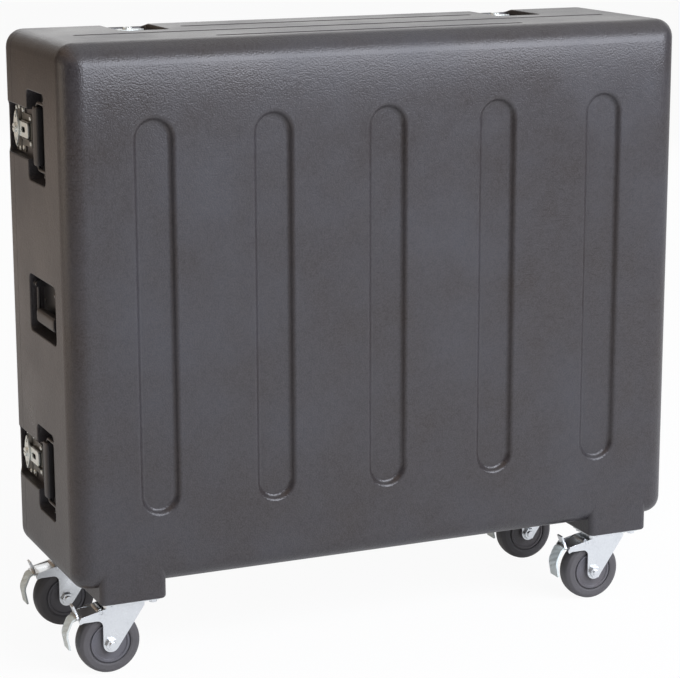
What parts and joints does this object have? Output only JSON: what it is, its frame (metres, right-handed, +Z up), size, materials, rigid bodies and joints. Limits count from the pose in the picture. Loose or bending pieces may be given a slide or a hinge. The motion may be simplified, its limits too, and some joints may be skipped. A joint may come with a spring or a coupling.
{
  "type": "mixer case",
  "caption": "Deep moulded equipment case standing on its long side, with lift-off lid, recessed twist latches, spring handles, foam lining and braked swivel casters.",
  "frame": {"origin": "on the floor, under the middle of the whole object's box", "axes": "+Z up, +X along the long face to the right as seen from the front, +Y from the ribbed front face to the lid"},
  "size_m": [1.0662, 0.327, 0.993],
  "materials": {
    "case_plastic": "fine pebbled black",
    "foam": "closed cell foam, charcoal",
    "gasket_rubber": "matt",
    "zinc_plate": "bright zinc plated",
    "black_steel": "black coated steel, satin",
    "grip_plastic": "moulded black grip",
    "wheel_rubber": "dark grey rubber",
    "wheel_core": "dark grey",
    "insert_brass": "plain"
  },
  "bodies": {
    "base": {"base_shell": "case_plastic", "foam_tray": "foam", "keeper_plates": "zinc_plate", "keeper_rivets": "zinc_plate", "handle_plates": "black_steel", "handle_brackets": "black_steel", "handle_rivets": "black_steel", "caster_plates": "zinc_plate", "caster_screws": "zinc_plate", "threaded_inserts": "insert_brass"},
    "lid": {"lid_shell": "case_plastic", "foam_lid_pad": "foam", "rim_gasket": "gasket_rubber", "latch_plates": "zinc_plate", "latch_rivets": "zinc_plate"},
    "butterfly_top_left": {"latch_butterfly_top_left": "zinc_plate"},
    "link_top_left": {"latch_link_top_left": "zinc_plate"},
    "butterfly_top_right": {"latch_butterfly_top_right": "zinc_plate"},
    "link_top_right": {"latch_link_top_right": "zinc_plate"},
    "butterfly_left_upper": {"latch_butterfly_left_upper": "zinc_plate"},
    "link_left_upper": {"latch_link_left_upper": "zinc_plate"},
    "butterfly_left_lower": {"latch_butterfly_left_lower": "zinc_plate"},
    "link_left_lower": {"latch_link_left_lower": "zinc_plate"},
    "butterfly_right_upper": {"latch_butterfly_right_upper": "zinc_plate"},
    "link_right_upper": {"latch_link_right_upper": "zinc_plate"},
    "butterfly_right_lower": {"latch_butterfly_right_lower": "zinc_plate"},
    "link_right_lower": {"latch_link_right_lower": "zinc_plate"},
    "handle_left_upper": {"handle_bail_left_upper": "black_steel", "handle_grip_left_upper": "grip_plastic"},
    "handle_left_lower": {"handle_bail_left_lower": "black_steel", "handle_grip_left_lower": "grip_plastic"},
    "handle_left_middle": {"handle_bail_left_middle": "black_steel", "handle_grip_left_middle": "grip_plastic"},
    "handle_right_upper": {"handle_bail_right_upper": "black_steel", "handle_grip_right_upper": "grip_plastic"},
    "handle_right_lower": {"handle_bail_right_lower": "black_steel", "handle_grip_right_lower": "grip_plastic"},
    "handle_right_middle": {"handle_bail_right_middle": "black_steel", "handle_grip_right_middle": "grip_plastic"},
    "swivel_front_left": {"caster_fork_front_left": "zinc_plate", "caster_axle_front_left": "zinc_plate"},
    "wheel_front_left": {"caster_tyre_front_left": "wheel_rubber", "caster_wheel_hub_front_left": "wheel_core"},
    "pedal_front_left": {"caster_pedal_front_left": "zinc_plate"},
    "swivel_front_right": {"caster_fork_front_right": "zinc_plate", "caster_axle_front_right": "zinc_plate"},
    "wheel_front_right": {"caster_tyre_front_right": "wheel_rubber", "caster_wheel_hub_front_right": "wheel_core"},
    "pedal_front_right": {"caster_pedal_front_right": "zinc_plate"},
    "swivel_rear_left": {"caster_fork_rear_left": "zinc_plate", "caster_axle_rear_left": "zinc_plate"},
    "wheel_rear_left": {"caster_tyre_rear_left": "wheel_rubber", "caster_wheel_hub_rear_left": "wheel_core"},
    "pedal_rear_left": {"caster_pedal_rear_left": "zinc_plate"},
    "swivel_rear_right": {"caster_fork_rear_right": "zinc_plate", "caster_axle_rear_right": "zinc_plate"},
    "wheel_rear_right": {"caster_tyre_rear_right": "wheel_rubber", "caster_wheel_hub_rear_right": "wheel_core"},
    "pedal_rear_right": {"caster_pedal_rear_right": "zinc_plate"}
  },
  "joints": [
    {"name": "lid_lift", "type": "slide", "parent": "base", "child": "lid", "axis": [0, 1, 0], "range_m": [0, 0.3]},
    {"name": "butterfly_turn_top_left", "type": "hinge", "parent": "lid", "child": "butterfly_top_left", "pos_m": [-0.32694, 0.119, 0.984], "axis": [0, 0, 1], "range_deg": [0, 180]},
    {"name": "link_slide_top_left", "type": "slide", "parent": "lid", "child": "link_top_left", "axis": [0, -1, 0], "range_m": [0, 0.0081]},
    {"name": "butterfly_turn_top_right", "type": "hinge", "parent": "lid", "child": "butterfly_top_right", "pos_m": [0.33706, 0.119, 0.984], "axis": [0, 0, 1], "range_deg": [0, 180]},
    {"name": "link_slide_top_right", "type": "slide", "parent": "lid", "child": "link_top_right", "axis": [0, -1, 0], "range_m": [0, 0.0081]},
    {"name": "butterfly_turn_left_upper", "type": "hinge", "parent": "lid", "child": "butterfly_left_upper", "pos_m": [-0.51394, 0.119, 0.839], "axis": [-1, 0, 0], "range_deg": [0, 180]},
    {"name": "link_slide_left_upper", "type": "slide", "parent": "lid", "child": "link_left_upper", "axis": [0, -1, 0], "range_m": [0, 0.0081]},
    {"name": "butterfly_turn_left_lower", "type": "hinge", "parent": "lid", "child": "butterfly_left_lower", "pos_m": [-0.51394, 0.119, 0.305], "axis": [-1, 0, 0], "range_deg": [0, 180]},
    {"name": "link_slide_left_lower", "type": "slide", "parent": "lid", "child": "link_left_lower", "axis": [0, -1, 0], "range_m": [0, 0.0081]},
    {"name": "butterfly_turn_right_upper", "type": "hinge", "parent": "lid", "child": "butterfly_right_upper", "pos_m": [0.52406, 0.119, 0.839], "axis": [1, 0, 0], "range_deg": [0, 180]},
    {"name": "link_slide_right_upper", "type": "slide", "parent": "lid", "child": "link_right_upper", "axis": [0, -1, 0], "range_m": [0, 0.0081]},
    {"name": "butterfly_turn_right_lower", "type": "hinge", "parent": "lid", "child": "butterfly_right_lower", "pos_m": [0.52406, 0.119, 0.305], "axis": [1, 0, 0], "range_deg": [0, 180]},
    {"name": "link_slide_right_lower", "type": "slide", "parent": "lid", "child": "link_right_lower", "axis": [0, -1, 0], "range_m": [0, 0.0081]},
    {"name": "handle_turn_left_upper", "type": "hinge", "parent": "base", "child": "handle_left_upper", "pos_m": [-0.51344, -0.0455, 0.839], "axis": [0, 0, 1], "range_deg": [0, 90], "stiffness_Nm_per_rad": 0.4, "springref_deg": -17.19},
    {"name": "handle_turn_left_lower", "type": "hinge", "parent": "base", "child": "handle_left_lower", "pos_m": [-0.51344, -0.0455, 0.305], "axis": [0, 0, 1], "range_deg": [0, 90], "stiffness_Nm_per_rad": 0.4, "springref_deg": -17.19},
    {"name": "handle_turn_left_middle", "type": "hinge", "parent": "base", "child": "handle_left_middle", "pos_m": [-0.51344, -0.0245, 0.602], "axis": [0, 1, 0], "range_deg": [0, 90], "stiffness_Nm_per_rad": 0.4, "springref_deg": -17.19},
    {"name": "handle_turn_right_upper", "type": "hinge", "parent": "base", "child": "handle_right_upper", "pos_m": [0.52356, -0.0455, 0.839], "axis": [0, 0, -1], "range_deg": [0, 90], "stiffness_Nm_per_rad": 0.4, "springref_deg": -17.19},
    {"name": "handle_turn_right_lower", "type": "hinge", "parent": "base", "child": "handle_right_lower", "pos_m": [0.52356, -0.0455, 0.305], "axis": [0, 0, -1], "range_deg": [0, 90], "stiffness_Nm_per_rad": 0.4, "springref_deg": -17.19},
    {"name": "handle_turn_right_middle", "type": "hinge", "parent": "base", "child": "handle_right_middle", "pos_m": [0.52356, -0.0245, 0.602], "axis": [0, -1, 0], "range_deg": [0, 90], "stiffness_Nm_per_rad": 0.4, "springref_deg": -17.19},
    {"name": "swivel_turn_front_left", "type": "hinge", "parent": "base", "child": "swivel_front_left", "pos_m": [-0.42994, -0.119, 0.114], "axis": [0, 0, 1], "continuous": true},
    {"name": "wheel_roll_front_left", "type": "hinge", "parent": "swivel_front_left", "child": "wheel_front_left", "pos_m": [-0.46194, -0.119, 0.0508], "axis": [0, 1, 0], "continuous": true},
    {"name": "pedal_press_front_left", "type": "hinge", "parent": "swivel_front_left", "child": "pedal_front_left", "pos_m": [-0.47794, -0.119, 0.1048], "axis": [0, -1, 0], "range_deg": [0, 10]},
    {"name": "swivel_turn_front_right", "type": "hinge", "parent": "base", "child": "swivel_front_right", "pos_m": [0.44006, -0.119, 0.114], "axis": [0, 0, 1], "continuous": true},
    {"name": "wheel_roll_front_right", "type": "hinge", "parent": "swivel_front_right", "child": "wheel_front_right", "pos_m": [0.40806, -0.119, 0.0508], "axis": [0, 1, 0], "continuous": true},
    {"name": "pedal_press_front_right", "type": "hinge", "parent": "swivel_front_right", "child": "pedal_front_right", "pos_m": [0.39206, -0.119, 0.1048], "axis": [0, -1, 0], "range_deg": [0, 10]},
    {"name": "swivel_turn_rear_left", "type": "hinge", "parent": "base", "child": "swivel_rear_left", "pos_m": [-0.42994, 0.119, 0.114], "axis": [0, 0, 1], "continuous": true},
    {"name": "wheel_roll_rear_left", "type": "hinge", "parent": "swivel_rear_left", "child": "wheel_rear_left", "pos_m": [-0.46194, 0.119, 0.0508], "axis": [0, 1, 0], "continuous": true},
    {"name": "pedal_press_rear_left", "type": "hinge", "parent": "swivel_rear_left", "child": "pedal_rear_left", "pos_m": [-0.47794, 0.119, 0.1048], "axis": [0, -1, 0], "range_deg": [0, 10]},
    {"name": "swivel_turn_rear_right", "type": "hinge", "parent": "base", "child": "swivel_rear_right", "pos_m": [0.44006, 0.119, 0.114], "axis": [0, 0, 1], "continuous": true},
    {"name": "wheel_roll_rear_right", "type": "hinge", "parent": "swivel_rear_right", "child": "wheel_rear_right", "pos_m": [0.40806, 0.119, 0.0508], "axis": [0, 1, 0], "continuous": true},
    {"name": "pedal_press_rear_right", "type": "hinge", "parent": "swivel_rear_right", "child": "pedal_rear_right", "pos_m": [0.39206, 0.119, 0.1048], "axis": [0, -1, 0], "range_deg": [0, 10]}
  ],
  "couplings": [
    {"joint": "link_slide_top_left", "follows": "butterfly_turn_top_left", "m_per_rad": 0.0025465},
    {"joint": "link_slide_top_right", "follows": "butterfly_turn_top_right", "m_per_rad": 0.0025465},
    {"joint": "link_slide_left_upper", "follows": "butterfly_turn_left_upper", "m_per_rad": 0.0025465},
    {"joint": "link_slide_left_lower", "follows": "butterfly_turn_left_lower", "m_per_rad": 0.0025465},
    {"joint": "link_slide_right_upper", "follows": "butterfly_turn_right_upper", "m_per_rad": 0.0025465},
    {"joint": "link_slide_right_lower", "follows": "butterfly_turn_right_lower", "m_per_rad": 0.0025465}
  ]
}
